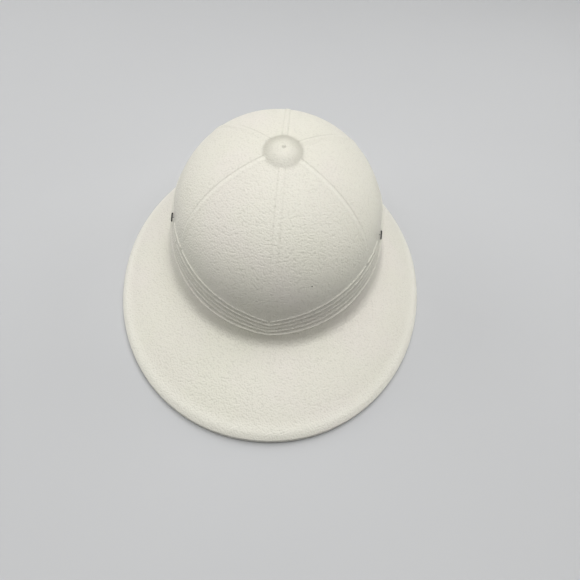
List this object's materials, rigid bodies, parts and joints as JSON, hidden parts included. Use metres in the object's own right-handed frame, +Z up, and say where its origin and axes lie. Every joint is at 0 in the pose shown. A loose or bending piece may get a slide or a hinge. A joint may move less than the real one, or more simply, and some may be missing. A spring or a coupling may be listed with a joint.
{
  "type": "pith helmet",
  "caption": "Hard-shell pith helmet: domed crown with a top button, raised seams and a ridged band, a wide sloping brim with a turned-down rim, and an elastic chin cord.",
  "frame": {"origin": "middle of the rim's outline, on the surface the helmet stands on", "axes": "+Z up through the crown, -Y towards the front of the brim, +X to the right as seen from the front"},
  "size_m": [0.2798, 0.3342, 0.1346],
  "materials": {
    "shell_plastic": "ivory moulded plastic with a fine pebbled grain",
    "cord_elastic": "black braided elastic",
    "toggle_plastic": "black moulded plastic"
  },
  "bodies": {
    "root": {"helmet_shell": "shell_plastic", "chin_cord": "cord_elastic", "cord_toggle_left": "toggle_plastic", "cord_toggle_right": "toggle_plastic"}
  },
  "joints": []
}
